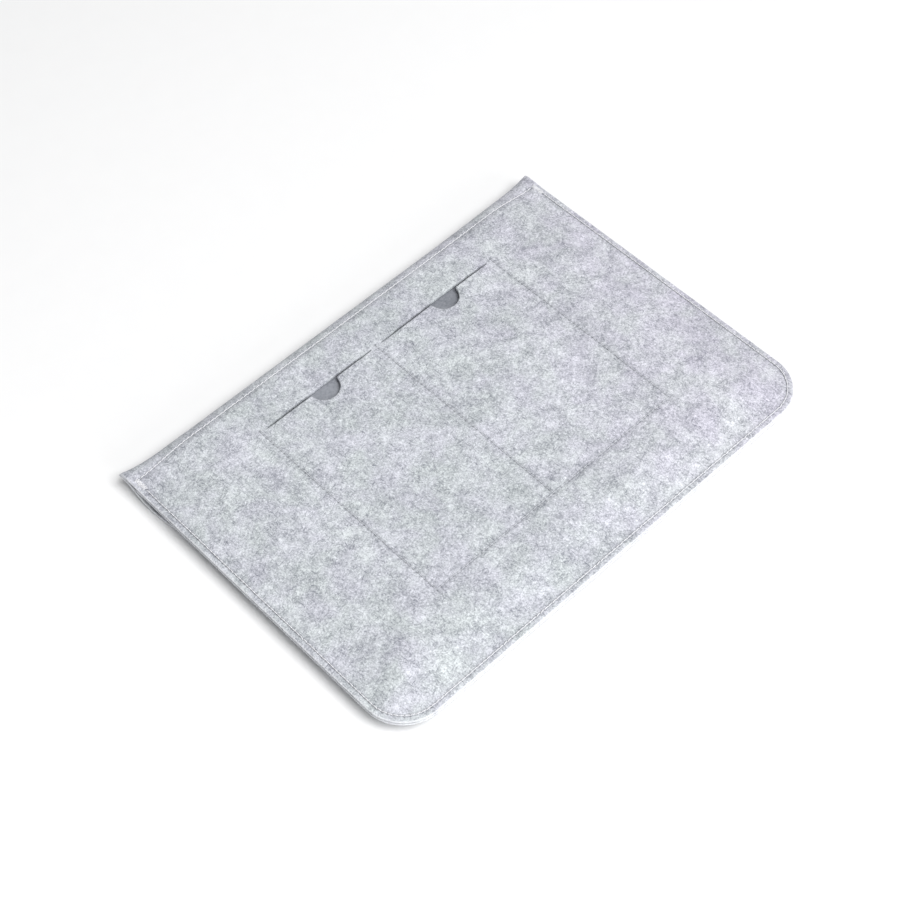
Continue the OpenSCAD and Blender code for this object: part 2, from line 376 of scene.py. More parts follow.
class Seam:
    """Needle holes along a line on the cloth, with the direction of the line at each."""

    def __init__(self, points, headings):
        self.points = np.array(points, float)
        self.headings = np.array(headings, float)

    def rows(self, offsets):
        """Points beside the line, for the mesh to follow it."""
        out = []
        for (x, y), (dx, dy) in zip(self.points, self.headings):
            for part in range(ROWS_PER_STITCH):
                along = PITCH * (part / ROWS_PER_STITCH)
                for offset in offsets:
                    out.append((x + dx * along - dy * offset, y + dy * along + dx * offset))
        return out


def straight_seam(start, end):
    start, end = np.array(start, float), np.array(end, float)
    length = np.hypot(*(end - start))
    count = max(2, round(length / PITCH))
    way = (end - start) / length
    points = [start + (end - start) * i / count for i in range(count + 1)]
    return Seam(points, [way] * (count + 1))


def perimeter_seam(top):
    radius = CORNER - SEAM_INSET
    cx, cy = HALF_X - CORNER, HALF_Y - CORNER
    side, arc, bottom = top + cy, radius * math.pi / 2, 2 * cx
    whole = 2 * side + 2 * arc + bottom
    count = round(whole / PITCH)
    points, headings = [], []
    for i in range(count + 1):
        d = whole * i / count
        if d < side:
            p, h = (-HALF_X + SEAM_INSET, top - d), (0, -1)
        elif d < side + arc:
            a = math.pi + (d - side) / radius
            p, h = (-cx + radius * math.cos(a), -cy + radius * math.sin(a)), (-math.sin(a), math.cos(a))
        elif d < side + arc + bottom:
            p, h = (-cx + d - side - arc, -HALF_Y + SEAM_INSET), (1, 0)
        elif d < side + 2 * arc + bottom:
            a = 1.5 * math.pi + (d - side - arc - bottom) / radius
            p, h = (cx + radius * math.cos(a), -cy + radius * math.sin(a)), (-math.sin(a), math.cos(a))
        else:
            p, h = (HALF_X - SEAM_INSET, -cy + d - side - 2 * arc - bottom), (0, 1)
        points.append(p)
        headings.append(h)
    return Seam(points, headings)


SEAM_REACH = HALF_X - 6
perimeter = perimeter_seam(SEAM_TOP)
fold_seam = straight_seam((-SEAM_REACH, FOLD_SEAM), (SEAM_REACH, FOLD_SEAM))
mouth_seam = straight_seam((-SEAM_REACH, MOUTH_SEAM), (SEAM_REACH, MOUTH_SEAM))
card_seam = straight_seam((CARD_SIDE, SLIT + SLIT_OPEN), (CARD_SIDE, POCKET_BOTTOM))
divider_seam = straight_seam((DIVIDER, SLIT + SLIT_OPEN), (DIVIDER, POCKET_BOTTOM))
phone_seam = straight_seam((PHONE_SIDE, SLIT + SLIT_OPEN), (PHONE_SIDE, POCKET_BOTTOM))
bottom_seam = straight_seam((CARD_SIDE, POCKET_BOTTOM), (PHONE_SIDE, POCKET_BOTTOM))


def point_tree(points):
    tree = KDTree(len(points))
    for i, (x, y) in enumerate(points):
        tree.insert((x, y, 0), i)
    tree.balance()
    return tree


class Grooves:
    """How deep each seam's thread pulls the felt in, and the painted shade that darkens its needle holes and
    its line.

    seams are (seam, depth of the groove, depth of a hole, darkness of the painted shade along the line).
    """

    def __init__(self, seams):
        holes = [len(seam.points) for seam, *_ in seams]
        rows = [ROWS_PER_STITCH * many for many in holes]
        self.at_line = np.repeat([depth for _, depth, _, _ in seams], rows)
        self.at_hole = np.repeat([hole for _, _, hole, _ in seams], holes)
        self.shade = np.repeat([shade for *_, shade in seams], rows)
        self.hole_tree = point_tree(np.concatenate([seam.points for seam, *_ in seams]))
        self.line_tree = point_tree(np.concatenate([seam.rows((0,)) for seam, *_ in seams]))

    def nearest(self, x, y):
        found = []
        for tree in (self.hole_tree, self.line_tree):
            hits = [tree.find((a, b, 0))[1:] for a, b in zip(x, y)]
            found += [np.array([h[0] for h in hits]), np.array([h[1] for h in hits])]
        return found

    def sink(self, x, y):
        hole, hole_far, line, line_far = self.nearest(x, y)
        return -self.at_line[line] * near(line_far, 1.25) - self.at_hole[hole] * near(hole_far, 0.5)

    def mark(self, x, y):
        # Painted shade, darkest at the needle holes and fainter along the seam line.
        hole, hole_far, line, line_far = self.nearest(x, y)
        return np.clip(near(hole_far, 0.62) + self.shade[line] * near(line_far, 0.9), 0, 1)


# Each is (groove depth, hole depth, darkness of the painted seam shade).
EDGE_PULL_AND_SHADE = (0.4, 0.6, 0.42)
POCKET_PULL_AND_SHADE = (0.26, 0.6, 0.3)
POCKET_SEAMS = [card_seam, divider_seam, phone_seam, bottom_seam]
BACK_SEAMS = [perimeter, fold_seam, *POCKET_SEAMS]
back_grooves = Grooves(
    [(perimeter, *EDGE_PULL_AND_SHADE), (fold_seam, *EDGE_PULL_AND_SHADE), *[(seam, *POCKET_PULL_AND_SHADE) for seam in POCKET_SEAMS]]
)
under_perimeter = perimeter_seam(SEAM_TOP)
front_grooves = Grooves([(under_perimeter, *EDGE_PULL_AND_SHADE), (mouth_seam, *EDGE_PULL_AND_SHADE)])


# ---- meshes ----


def add_mesh(name, verts, faces, uv=None, marks=None, sharp=None, smooth=True):
    """A mesh object from millimetre coordinates, with its cloth map and its marks stored."""
    mesh = bpy.data.meshes.new(name)
    mesh.from_pydata((np.asarray(verts) * MM).tolist(), [], faces)
    mesh.polygons.foreach_set("use_smooth", [smooth] * len(mesh.polygons))
    corners = np.zeros(len(mesh.loops), int)
    mesh.loops.foreach_get("vertex_index", corners)
    if uv is not None:
        layer = mesh.uv_layers.new(name="Cloth")
        layer.data.foreach_set("uv", (np.asarray(uv) / UV_UNIT)[corners].astype(np.float32).ravel())
    for key, values in (marks or {}).items():
        attribute = mesh.attributes.new(key, "FLOAT", "POINT")
        attribute.data.foreach_set("value", np.asarray(values, np.float32))
    if sharp:
        ends = np.zeros(len(mesh.edges) * 2, int)
        mesh.edges.foreach_get("vertices", ends)
        flags = [(min(a, b), max(a, b)) in sharp for a, b in ends.reshape(-1, 2).tolist()]
        attribute = mesh.attributes.new("sharp_edge", "BOOLEAN", "EDGE")
        attribute.data.foreach_set("value", flags)
    mesh.update()
    obj = bpy.data.objects.new(name, mesh)
    bpy.context.scene.collection.objects.link(obj)
    return obj


def inside(points, polygon):
    """Which points lie in the polygon."""
    x, y = points[:, 0], points[:, 1]
    result = np.zeros(len(points), bool)
    previous = polygon[-1]
    for corner in polygon:
        (x1, y1), (x2, y2) = previous, corner
        if y1 != y2:
            crosses = (y1 > y) != (y2 > y)
            result ^= crosses & (x < (x2 - x1) * (y - y1) / (y2 - y1) + x1)
        previous = corner
    return result


def loop_normals(loop):
    """Unit normals pointing out of a loop's solid side, which lies to the left of its direction."""
    ahead, behind = np.roll(loop, -1, 0) - loop, loop - np.roll(loop, 1, 0)
    way = ahead / np.hypot(*ahead.T)[:, None] + behind / np.hypot(*behind.T)[:, None]
    way /= np.maximum(np.hypot(*way.T), 1e-9)[:, None]
    return np.c_[way[:, 1], -way[:, 0]]


def resample(loop, spacing):
    """Puts points along a closed loop at about one spacing."""
    out = []
    for a, b in zip(loop, np.roll(loop, -1, 0)):
        length = np.hypot(*(b - a))
        count = max(1, round(length / spacing))
        out.extend(a + (b - a) * i / count for i in range(count))
    return np.array(out)


def arc_points(centre, radius, start, end, count):
    angles = np.radians(np.linspace(start, end, count))
    return [(centre[0] + radius * math.cos(a), centre[1] + radius * math.sin(a)) for a in angles]


def body_loop(end):
    """Outline of a panel, its bottom corners rounded, up to y = end."""
    cx, cy = HALF_X - CORNER, HALF_Y - CORNER
    return np.array(
        [(HALF_X, end), (-HALF_X, end)]
        + arc_points((-cx, -cy), CORNER, 180, 270, 26)
        + arc_points((cx, -cy), CORNER, 270, 360, 26)
    )


def slit_loop(left, right, notch):
    """A pocket mouth, clockwise: a slit that narrows to its ends, with a thumb notch in its lower lip."""
    middle, reach = (left + right) / 2, (right - left) / 2 - SLIT_END
    xs = np.linspace(-reach, reach, 66)
    open_at = 0.25 + (SLIT_OPEN / 2 - 0.25) * np.sqrt(np.clip(1 - (xs / reach) ** 2, 0, 1)) ** 0.8
    centre = SLIT + SLIT_OPEN / 2
    upper = np.c_[middle + xs, centre + open_at]
    lower = np.c_[middle + xs, centre - open_at][::-1]
    half = NOTCH * 0.985
    right_part = lower[lower[:, 0] > notch + half + 1.6]
    left_part = lower[lower[:, 0] < notch - half - 1.6]
    y = np.interp(notch, lower[::-1, 0], lower[::-1, 1])
    bow = arc_points((notch, y + 0.15), NOTCH, -6, -174, 34)
    shoulders = (
        [(notch + half + 1.1, y + 0.02), (notch + half + 0.45, y - 0.3)],
        [(notch - half - 0.45, y - 0.3), (notch - half - 1.1, y + 0.02)],
    )
    return np.array([*upper, *right_part, *shoulders[0], *bow, *shoulders[1], *left_part])


def hex_points(low, high, spacing):
    rows = np.arange(low[1], high[1], spacing * 0.866)
    points = []
    for i, y in enumerate(rows):
        xs = np.arange(low[0] + (i % 2) * spacing / 2, high[0], spacing)
        points.append(np.c_[xs, np.full(len(xs), y)])
    return np.concatenate(points)


def plan_mesh(outline, holes, fine, coarse):
    """Triangulates the plan: fine points are kept, and coarse ones only where they aren't crowded."""
    bounds = [outline, *holes]
    rim = np.concatenate(bounds)
    rim_gap, same_place, coarse_gap = 0.45, 0.3, 1.1

    def in_cloth(places):
        result = inside(places, outline)
        for hole in holes:
            result &= ~inside(places, hole)
        return result

    def clear_of(others, places, gap):
        tree = point_tree(others)
        return np.array([tree.find((x, y, 0))[2] > gap for x, y in places])

    if len(fine):
        fine = fine[in_cloth(fine) & clear_of(rim, fine, rim_gap)]
        chosen, taken = [], set()
        for x, y in fine:
            key = (round(x / same_place), round(y / same_place))
            if key not in taken:
                taken.add(key)
                chosen.append((x, y))
        fine = np.array(chosen)
    kept = np.concatenate([rim, fine])
    coarse = coarse[in_cloth(coarse) & clear_of(kept, coarse, coarse_gap)]
    points = np.concatenate([kept, coarse])
    edges, start = [], 0
    for loop in bounds:
        edges += [(start + i, start + (i + 1) % len(loop)) for i in range(len(loop))]
        start += len(loop)
    verts, _, faces, origin, _, _ = delaunay_2d_cdt([Vector(p) for p in points], edges, [], 0, 1e-5)
    verts = np.array([tuple(v) for v in verts])
    faces = np.array([f for f in faces if len(f) == 3])
    faces = faces[in_cloth(verts[faces].mean(1))]
    a, b, c = (verts[faces[:, i]] for i in range(3))
    turn = (b[:, 0] - a[:, 0]) * (c[:, 1] - a[:, 1]) - (b[:, 1] - a[:, 1]) * (c[:, 0] - a[:, 0])
    faces[turn < 0] = faces[turn < 0][:, ::-1]
    back = {}
    for new, olds in enumerate(origin):
        for old in olds:
            back[old] = new
    loops, start = [], 0
    for loop in bounds:
        loops.append([back[start + i] for i in range(len(loop))])
        start += len(loop)
    return verts, faces, loops


class Skin:
    """A cloth face in space: a base surface, its relief and its grooves."""

    def __init__(self, base, relief=None, grooves=None, squeeze=None, flip=False):
        self.base, self.relief, self.grooves = base, relief, grooves
        self.squeeze, self.flip = squeeze, flip

    def normals(self, x, s):
        step = 0.2
        across = self.base(x + step, s) - self.base(x - step, s)
        along = self.base(x, s + step) - self.base(x, s - step)
        normal = np.cross(across, along)
        normal /= np.maximum(np.linalg.norm(normal, axis=1), 1e-9)[:, None]
        return -normal if self.flip else normal

    def at(self, x, s, depth, grooved=1.0):
        """Points a given depth under the outer face."""
        depth = np.asarray(depth, float) * np.ones_like(x)
        out = -depth
        if self.squeeze is not None:
            out = out - self.squeeze(x, s) * np.clip(1 - depth / FELT, 0, 1)
        if self.relief is not None:
            out = out + self.relief(x, s)
        if self.grooves is not None and grooved:
            out = out + grooved * self.grooves.sink(x, s)
        return self.base(x, s) + self.normals(x, s) * out[:, None]


def sheet_mesh(name, skin, plan, thickness, top=0.0, round_edge=EDGE, stiff=None, ragged=0.07, extra=None):
    """A closed cloth solid over a plan: outer face, inner face, and rounded walls along every edge.

    top is how deep it lies under the skin's face, and extra adds to that from place to place. stiff says
    where an edge is cut square, because it meets the next piece there.
    """
    verts, faces, loops = plan
    count = len(verts)
    x, s = verts.T
    lift = np.zeros(count) if extra is None else extra(x, s)
    outer = skin.at(x, s, top + lift, 1.0)
    inner = skin.at(x, s, top + lift + thickness, 0)
    points, maps = [outer, inner], [verts, verts]
    # mark holds the painted shade at needle holes and seam lines.
    mark = skin.grooves.mark(x, s) if skin.grooves else np.zeros(count)
    # The second list holds the painted highlight on the walls of the outer cut edge.
    marks, edge_highlights = [mark, mark * 0], [np.zeros(count), np.zeros(count)]
    out_faces = [f[::-1] if skin.flip else f for f in faces.tolist()]
    out_faces += [[i + count for i in (f if skin.flip else f[::-1])] for f in faces.tolist()]
    sharp = set()
    total = 2 * count
    r = round_edge
    profile = [(0.72 * r, 0.06 * r), (r * 0.93, 0.4 * r), (r, r), (r, thickness - r)]
    profile += [(r * 0.93, thickness - 0.4 * r), (0.72 * r, thickness - 0.06 * r)]
    for loop_number, loop in enumerate(loops):
        # Only the outer cut edge's walls get the painted highlight.
        highlight_share = 1.0 if loop_number == 0 else 0.0
        plan_loop = verts[loop]
        normal = loop_normals(plan_loop)
        soft = np.ones(len(loop)) if stiff is None else 1 - stiff(plan_loop)
        wobble = rng.normal(0, ragged, len(loop))
        wobble = (wobble + np.roll(wobble, 1) + np.roll(wobble, -1)) / 1.7
        rings = [np.array(loop)]
        for offset, depth in profile:
            away = (offset + wobble * min(1, depth / r, (thickness - depth) / r)) * soft
            place = plan_loop + normal * away[:, None]
            deep = lift[loop] + top + depth
            part = skin.at(place[:, 0], place[:, 1], deep, 1.0 if depth < thickness / 2 else 0)
            points.append(part)
            maps.append(plan_loop + normal * (away + np.minimum(depth, thickness - depth))[:, None])
            # A slit's walls get a little painted shade.
            marks.append(np.full(len(loop), 0.0 if loop_number == 0 else 0.25))
            edge_highlights.append(soft * highlight_share)
            rings.append(np.arange(total, total + len(loop)))
            total += len(loop)
        rings.append(np.array(loop) + count)
        for upper, lower in zip(rings, rings[1:]):
            for i in range(len(loop)):
                j = (i + 1) % len(loop)
                quad = [int(upper[i]), int(lower[i]), int(lower[j]), int(upper[j])]
                out_faces.append(quad[::-1] if skin.flip else quad)
        if stiff is not None:
            hard = soft < 0.5
            for ring in (rings[0], rings[-1]):
                for i in range(len(loop)):
                    j = (i + 1) % len(loop)
                    if hard[i] and hard[j]:
                        a, b = int(ring[i]), int(ring[j])
                        sharp.add((min(a, b), max(a, b)))
    everything = np.concatenate(points)
    return add_mesh(
        name, everything, out_faces, np.concatenate(maps),
        {"painted_seam_shade": np.concatenate(marks), "rim": np.concatenate(edge_highlights)}, sharp,
    )


def tubes(centres, ways, ups, profile, sides=7):
    """One short bent thread at each centre. profile rows are (along, up, radius, sideways)."""
    profile = np.asarray(profile, float)
    across = np.cross(ways, ups)
    along, up, radius, side = profile.T
    line = (
        centres[:, None] + ways[:, None] * along[None, :, None]
        + ups[:, None] * up[None, :, None] + across[:, None] * side[None, :, None]
    )
    step = np.gradient(line, axis=1)
    step /= np.maximum(np.linalg.norm(step, axis=2, keepdims=True), 1e-9)
    first = np.cross(step, across[:, None])
    first /= np.maximum(np.linalg.norm(first, axis=2, keepdims=True), 1e-9)
    second = np.cross(step, first)
    angle = np.linspace(0, 2 * math.pi, sides, endpoint=False)
    ring = (
        first[:, :, None] * np.cos(angle)[None, None, :, None]
        + second[:, :, None] * np.sin(angle)[None, None, :, None]
    )
    verts = line[:, :, None] + ring * radius[None, :, None, None]
    many, rows = verts.shape[0], verts.shape[1]
    uv = np.zeros((many, rows, sides, 2))
    uv[..., 0] = along[None, :, None] + np.arange(many)[:, None, None] * 0.37
    uv[..., 1] = np.abs(np.arange(sides) - sides / 2)[None, None, :] / sides
    block = []
    for i in range(rows - 1):
        for j in range(sides):
            k = (j + 1) % sides
            block.append([i * sides + j, i * sides + k, (i + 1) * sides + k, (i + 1) * sides + j])
    ends = [list(range(sides))[::-1], list(range((rows - 1) * sides, rows * sides))]
    faces = []
    for m in range(many):
        start = m * rows * sides
        faces += [[start + i for i in f] for f in block]
        faces += [[start + i for i in f] for f in ends]
    return verts.reshape(-1, 3), faces, uv.reshape(-1, 2)


# ---- materials ----


class Paint:
    """A procedural material, built a node at a time."""

    def __init__(self, name, roughness, sheen, sheen_rough, sheen_tint, specular):
        self.material = bpy.data.materials.new(name)
        self.material.use_nodes = True
        self.tree = self.material.node_tree
        self.shader = self.tree.nodes["Principled BSDF"]
        self.set(roughness, "Roughness")
        self.shader.inputs["Sheen Weight"].default_value = sheen
        self.shader.inputs["Sheen Roughness"].default_value = sheen_rough
        self.shader.inputs["Sheen Tint"].default_value = sheen_tint
        self.shader.inputs["Specular IOR Level"].default_value = specular

    def set(self, value, socket):
        target = self.shader.inputs[socket]
        if isinstance(value, bpy.types.NodeSocket):
            self.tree.links.new(value, target)
        else:
            target.default_value = value

    def add(self, kind, sockets, **fields):
        node = self.tree.nodes.new("ShaderNode" + kind)
        for key, value in fields.items():
            setattr(node, key, value)
        for key, value in sockets.items():
            if isinstance(value, bpy.types.NodeSocket):
                self.tree.links.new(value, node.inputs[key])
            else:
                node.inputs[key].default_value = value
        return node

    def cloth_map(self):
        return self.add("UVMap", {}, uv_map="Cloth").outputs[0]

    def mark(self, name):
        return self.add("Attribute", {}, attribute_name=name).outputs["Fac"]

    def noise(self, vector, scale, detail=3.0, rough=0.55, bend=0.0):
        sockets = {"Vector": vector, "Scale": scale, "Detail": detail, "Roughness": rough, "Distortion": bend}
        return self.add("TexNoise", sockets).outputs[0]

    def turned(self, vector, angle, length, width, shift=0.0):
        """The map in strips of that length and width, in millimetres, turned by the angle."""
        sockets = {
            "Vector": vector,
            "Location": (shift, shift * 0.61, 0),
            "Rotation": (0, 0, math.radians(angle)),
            "Scale": (length / UV_UNIT, width / UV_UNIT, 1),
        }
        return self.add("Mapping", sockets, vector_type="TEXTURE").outputs[0]

    def sum(self, a, b, how="ADD"):
        return self.add("Math", {0: a, 1: b}, operation=how).outputs[0]

    def swing(self, value, weight):
        """How far the value is from a half, times the weight."""
        return self.sum(self.sum(value, 0.5, "SUBTRACT"), weight, "MULTIPLY")

    def wave(self, value):
        return self.add("Math", {0: value}, operation="SINE").outputs[0]

    def spread(self, value, low, high, to_low=0.0, to_high=1.0, smooth=True):
        sockets = {"Value": value, "From Min": low, "From Max": high, "To Min": to_low, "To Max": to_high}
        kind = "SMOOTHSTEP" if smooth else "LINEAR"
        return self.add("MapRange", sockets, interpolation_type=kind).outputs[0]

    def mix(self, share, a, b, how="MIX"):
        node = self.add("Mix", {0: share, 6: a, 7: b}, data_type="RGBA", blend_type=how)
        return node.outputs[2]

    def strands(self, cloth, layers, shift, start, detail=1.5, bend=0.6):
        """Noise drawn out into fibres, one layer for each angle, length and width."""
        for i, (angle, length, width) in enumerate(layers):
            strips = self.turned(cloth, angle, length, width, shift * i + start)
            yield self.noise(strips, 1.0, detail, 0.5, bend)

    def strongest(self, values, low, high):
        """The largest of several values, each spread from low to high."""
        result, *others = [self.spread(value, low, high) for value in values]
        for other in others:
            result = self.sum(result, other, "MAXIMUM")
        return result

    def weave(self, cloth, across, along):
        """Crossing ribs, at two pitches in millimetres."""
        split = self.add("SeparateXYZ", {"Vector": cloth})
        ribs = [
            self.wave(self.sum(split.outputs[axis], 2 * math.pi * UV_UNIT / pitch, "MULTIPLY"))
            for axis, pitch in enumerate((across, along))
        ]
        return self.sum(ribs[0], ribs[1], "MULTIPLY")

    def bump(self, height, strength, distance, under=None):
        sockets = {"Height": height, "Strength": strength, "Distance": distance}
        if under is not None:
            sockets["Normal"] = under
        return self.add("Bump", sockets).outputs[0]


def srgb(r, g, b):
    """A linear colour from 0-255 screen values."""

    def one(v):
        v /= 255
        return v / 12.92 if v <= 0.04045 else ((v + 0.055) / 1.055) ** 2.4

    return (one(r), one(g), one(b), 1.0)


# Fibres of the felt, as angle in degrees, length and width in millimetres.
BODY_FIBRES = [
    (5, 3.6, 0.75), (34, 4.2, 0.9), (63, 3.2, 0.7), (92, 4.0, 0.85), (121, 3.4, 0.7), (150, 4.4, 0.9),
]
DARK_FIBRES = [(14, 4.0, 0.62), (71, 3.2, 0.55), (128, 3.6, 0.6), (165, 2.8, 0.5), (98, 4.4, 0.66)]
LIGHT_FIBRES = [(38, 3.6, 0.5), (105, 3.2, 0.45), (152, 4.2, 0.5), (2, 3.0, 0.45)]


def felt_paint(name):
    """Marled wool felt: mixed light and dark fibres, clouded, with a painted highlight along its cut edge."""
    paint = Paint(name, 0.93, 0.2, 0.55, (0.95, 0.97, 1, 1), 0.1)
    cloth = paint.cloth_map()
    cloud = paint.noise(cloth, UV_UNIT / 42, 3, 0.6)
    patch = paint.noise(cloth, UV_UNIT / 8.5, 4, 0.6, 0.4)
    grain = paint.noise(cloth, UV_UNIT / 0.8, 3, 0.65)
    tone = paint.sum(0.5, paint.swing(patch, 0.86))
    tone = paint.sum(tone, paint.swing(cloud, 0.62))
    tone = paint.sum(tone, paint.swing(grain, 0.34))
    for strand in paint.strands(cloth, BODY_FIBRES, 3.3, 0.7, 2, 0.5):
        tone = paint.sum(tone, paint.swing(strand, 0.74))
    body = paint.mix(paint.spread(tone, 0.0, 1.0, smooth=False), srgb(153, 155, 160), srgb(246, 247, 249))
    dark = paint.strongest(paint.strands(cloth, DARK_FIBRES, 1.7, 0.3), 0.605, 0.7)
    light = paint.strongest(paint.strands(cloth, LIGHT_FIBRES, 2.3, 5.1), 0.62, 0.72)
    colour = paint.mix(paint.sum(light, 0.28, "MULTIPLY"), body, srgb(244, 245, 248))
    share = paint.sum(dark, paint.spread(patch, 0.35, 0.65, 1.0, 0.5), "MULTIPLY")
    share = paint.sum(share, 0.72, "MULTIPLY")
    colour = paint.mix(share, colour, srgb(118, 121, 130))
    split = paint.add("SeparateXYZ", {"Vector": cloth})
    slanted = paint.sum(split.outputs[0], paint.sum(split.outputs[1], -0.35, "MULTIPLY"))
    side = paint.spread(slanted, -0.2, 1.9)
    tint = paint.mix(side, srgb(244, 247, 249), srgb(245, 244, 250))
    hue = paint.spread(paint.noise(cloth, UV_UNIT / 24, 4, 0.6, 0.3), 0.32, 0.68)
    tint = paint.mix(1.0, tint, paint.mix(hue, srgb(251, 253, 250), srgb(253, 250, 255)), "MULTIPLY")
    colour = paint.mix(1.0, colour, tint, "MULTIPLY")
    # Painted highlight: the walls of the outer cut edge are painted paler.
    colour = paint.mix(paint.sum(paint.mark("rim"), 0.5, "MULTIPLY"), colour, srgb(243, 244, 247))
    # Painted shade: darker at needle holes, along seam lines and on the slit walls.
    colour = paint.mix(paint.sum(paint.mark("painted_seam_shade"), 0.62, "MULTIPLY"), colour, srgb(84, 87, 94))
    paint.set(colour, "Base Color")
    height = paint.sum(paint.sum(light, 0.5, "MULTIPLY"), paint.sum(dark, -0.2, "MULTIPLY"))
    height = paint.sum(height, paint.sum(grain, 0.7, "MULTIPLY"))
    height = paint.sum(height, paint.sum(tone, 0.8, "MULTIPLY"))
    paint.set(paint.bump(height, 0.5, 0.00025), "Normal")
    return paint.material


def lining_paint():
    """Plain woven lining cloth, brushed on its face."""
    paint = Paint("lining_cloth", 0.85, 0.3, 0.45, (0.9, 0.93, 1, 1), 0.2)
    cloth = paint.cloth_map()
    weave = paint.weave(cloth, 0.55, 0.55)
    uneven = paint.noise(cloth, UV_UNIT / 1.8, 4, 0.65)
    cloud = paint.noise(cloth, UV_UNIT / 30, 2, 0.5)
    tone = paint.sum(paint.sum(weave, 0.14, "MULTIPLY"), paint.sum(uneven, cloud))
    colour = paint.mix(paint.spread(tone, 0.6, 1.4), srgb(112, 115, 122), srgb(158, 161, 168))
    paint.set(colour, "Base Color")
    paint.set(paint.bump(paint.sum(paint.sum(weave, 0.5, "MULTIPLY"), uneven), 0.5, 0.00012), "Normal")
    return paint.material


def thread_paint(name, low, high):
    """Two-ply polyester thread: the plies wind round it as slanted ridges."""
    paint = Paint(name, 0.6, 0.15, 0.4, (1, 1, 1, 1), 0.35)
    cloth = paint.cloth_map()
    split = paint.add("SeparateXYZ", {"Vector": cloth})
    along = paint.sum(split.outputs[0], 2 * math.pi * UV_UNIT / 0.75, "MULTIPLY")
    around = paint.sum(split.outputs[1], 2 * math.pi * UV_UNIT, "MULTIPLY")
    ply = paint.wave(paint.sum(along, around))
    uneven = paint.noise(cloth, UV_UNIT / 0.6, 3, 0.6)
    tone = paint.sum(paint.spread(ply, -1, 1, smooth=False), uneven)
    paint.set(paint.mix(paint.spread(tone, 0.4, 1.6), low, high), "Base Color")
    paint.set(paint.bump(tone, 0.5, 0.00008), "Normal")
    return paint.material


def tape_paint(name, low, high, rough):
    """Narrow woven tape with a fine rib across it."""
    paint = Paint(name, rough, 0.1, 0.4, (1, 1, 1, 1), 0.3)
    cloth = paint.cloth_map()
    weave = paint.weave(cloth, 0.45, 0.8)
    uneven = paint.noise(cloth, UV_UNIT / 1.2, 3, 0.6)
    tone = paint.sum(paint.sum(weave, 0.2, "MULTIPLY"), uneven)
    paint.set(paint.mix(paint.spread(tone, 0.25, 0.8), low, high), "Base Color")
    paint.set(paint.bump(paint.sum(weave, uneven), 0.5, 0.0001), "Normal")
    return paint.material


FELT_PAINT = felt_paint("marled_felt")
LINING_PAINT = lining_paint()
THREAD_PAINT = thread_paint("seam_thread", srgb(196, 197, 202), srgb(240, 240, 243))
POCKET_THREAD_PAINT = thread_paint("pocket_thread", srgb(178, 181, 187), srgb(216, 218, 223))
HOOK_PAINT = tape_paint("hook_tape", srgb(128, 131, 138), srgb(160, 163, 170), 0.55)
LOOP_PAINT = tape_paint("loop_tape", srgb(134, 137, 144), srgb(176, 179, 186), 0.85)


def dress(obj, paint, body=None, replaced=()):
    obj.data.materials.append(paint)
    if body:
        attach(obj, body)
    if replaced:
        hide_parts(*replaced)
    return obj


# ---- felt pieces ----


def inset(loop, amount, keep=None):
    """The loop moved in by the edge's rounding, which the walls give back."""
    soft = np.ones(len(loop)) if keep is None else 1 - keep(loop)
    return loop - loop_normals(loop) * (amount * soft)[:, None]


def at_nose(loop):
    return (np.abs(loop[:, 1] - NOSE) < 1e-6).astype(float)


back_skin = Skin(wrap_base, back_relief, back_grooves, back_squeeze)
MOUTHS = [(CARD_SIDE, DIVIDER, CARD_NOTCH), (DIVIDER, PHONE_SIDE, PHONE_NOTCH)]


def bend_rows(first, last):
    """Closer points over the bend, where the felt turns."""
    across = np.arange(-HALF_X + 2.5, HALF_X - 1.5, 2.4)
    full = np.ones(len(across))
    rows = np.arange(first, last, 1.0)
    return np.concatenate([np.c_[across + (i % 2) * 1.2, full * s] for i, s in enumerate(rows)])


def seam_rows(seams):
    return np.concatenate([seam.rows((-1.1, -0.5, 0, 0.5, 1.1)) for seam in seams])


back_outline = inset(resample(body_loop(NOSE), 1.9), EDGE, at_nose)
slits = [inset(resample(slit_loop(*mouth), 0.9), EDGE - 0.12) for mouth in MOUTHS]
fine = np.concatenate([seam_rows(BACK_SEAMS), bend_rows(BEND + 9, NOSE - 0.6)])
coarse = hex_points((-HALF_X, -HALF_Y), (HALF_X, BEND + 9), 2.6)
back_plan = plan_mesh(back_outline, slits, fine, coarse)
back_panel = sheet_mesh("back_panel_felt", back_skin, back_plan, FELT, stiff=at_nose)

flap_skin = Skin(wrap_base)


# How far the flap's sides have come in, at distances from the fold.
SLANT_AT = (0, 8, 17, 26, 36, 50, 70)
SLANT_IN = (0, 0.1, 0.7, 1.9, 3.4, 5.2, 7.4)


def flap_loop():
    """The flap's cut: full width at the fold, then coming in to two rounded free corners."""
    cx, cs = HALF_X - FLAP_TAPER - FLAP_CORNER, FLAP_END - FLAP_CORNER
    at = np.linspace(0, 70, 36)
    side = HALF_X - np.interp(at, SLANT_AT, SLANT_IN)
    side = np.convolve(np.pad(side, 2, "edge"), np.ones(5) / 5, "valid")
    right = [(x, NOSE + 16 + a) for x, a in zip(side, at)]
    right += arc_points((cx, cs), FLAP_CORNER, -2, 90, 26)
    left = [(-x, s) for x, s in right[::-1]]
    return np.array([(-HALF_X, NOSE), (HALF_X, NOSE), *right, *left])


flap_outline = inset(resample(flap_loop(), 1.9), EDGE, at_nose)
fine = bend_rows(NOSE + 0.6, RETURN - 4)
coarse = hex_points((-HALF_X, RETURN - 4), (HALF_X, FLAP_END), 3.4)
flap_plan = plan_mesh(flap_outline, [], fine, coarse)
flap_panel = sheet_mesh("flap_felt_wrap", flap_skin, flap_plan, FELT, stiff=at_nose)

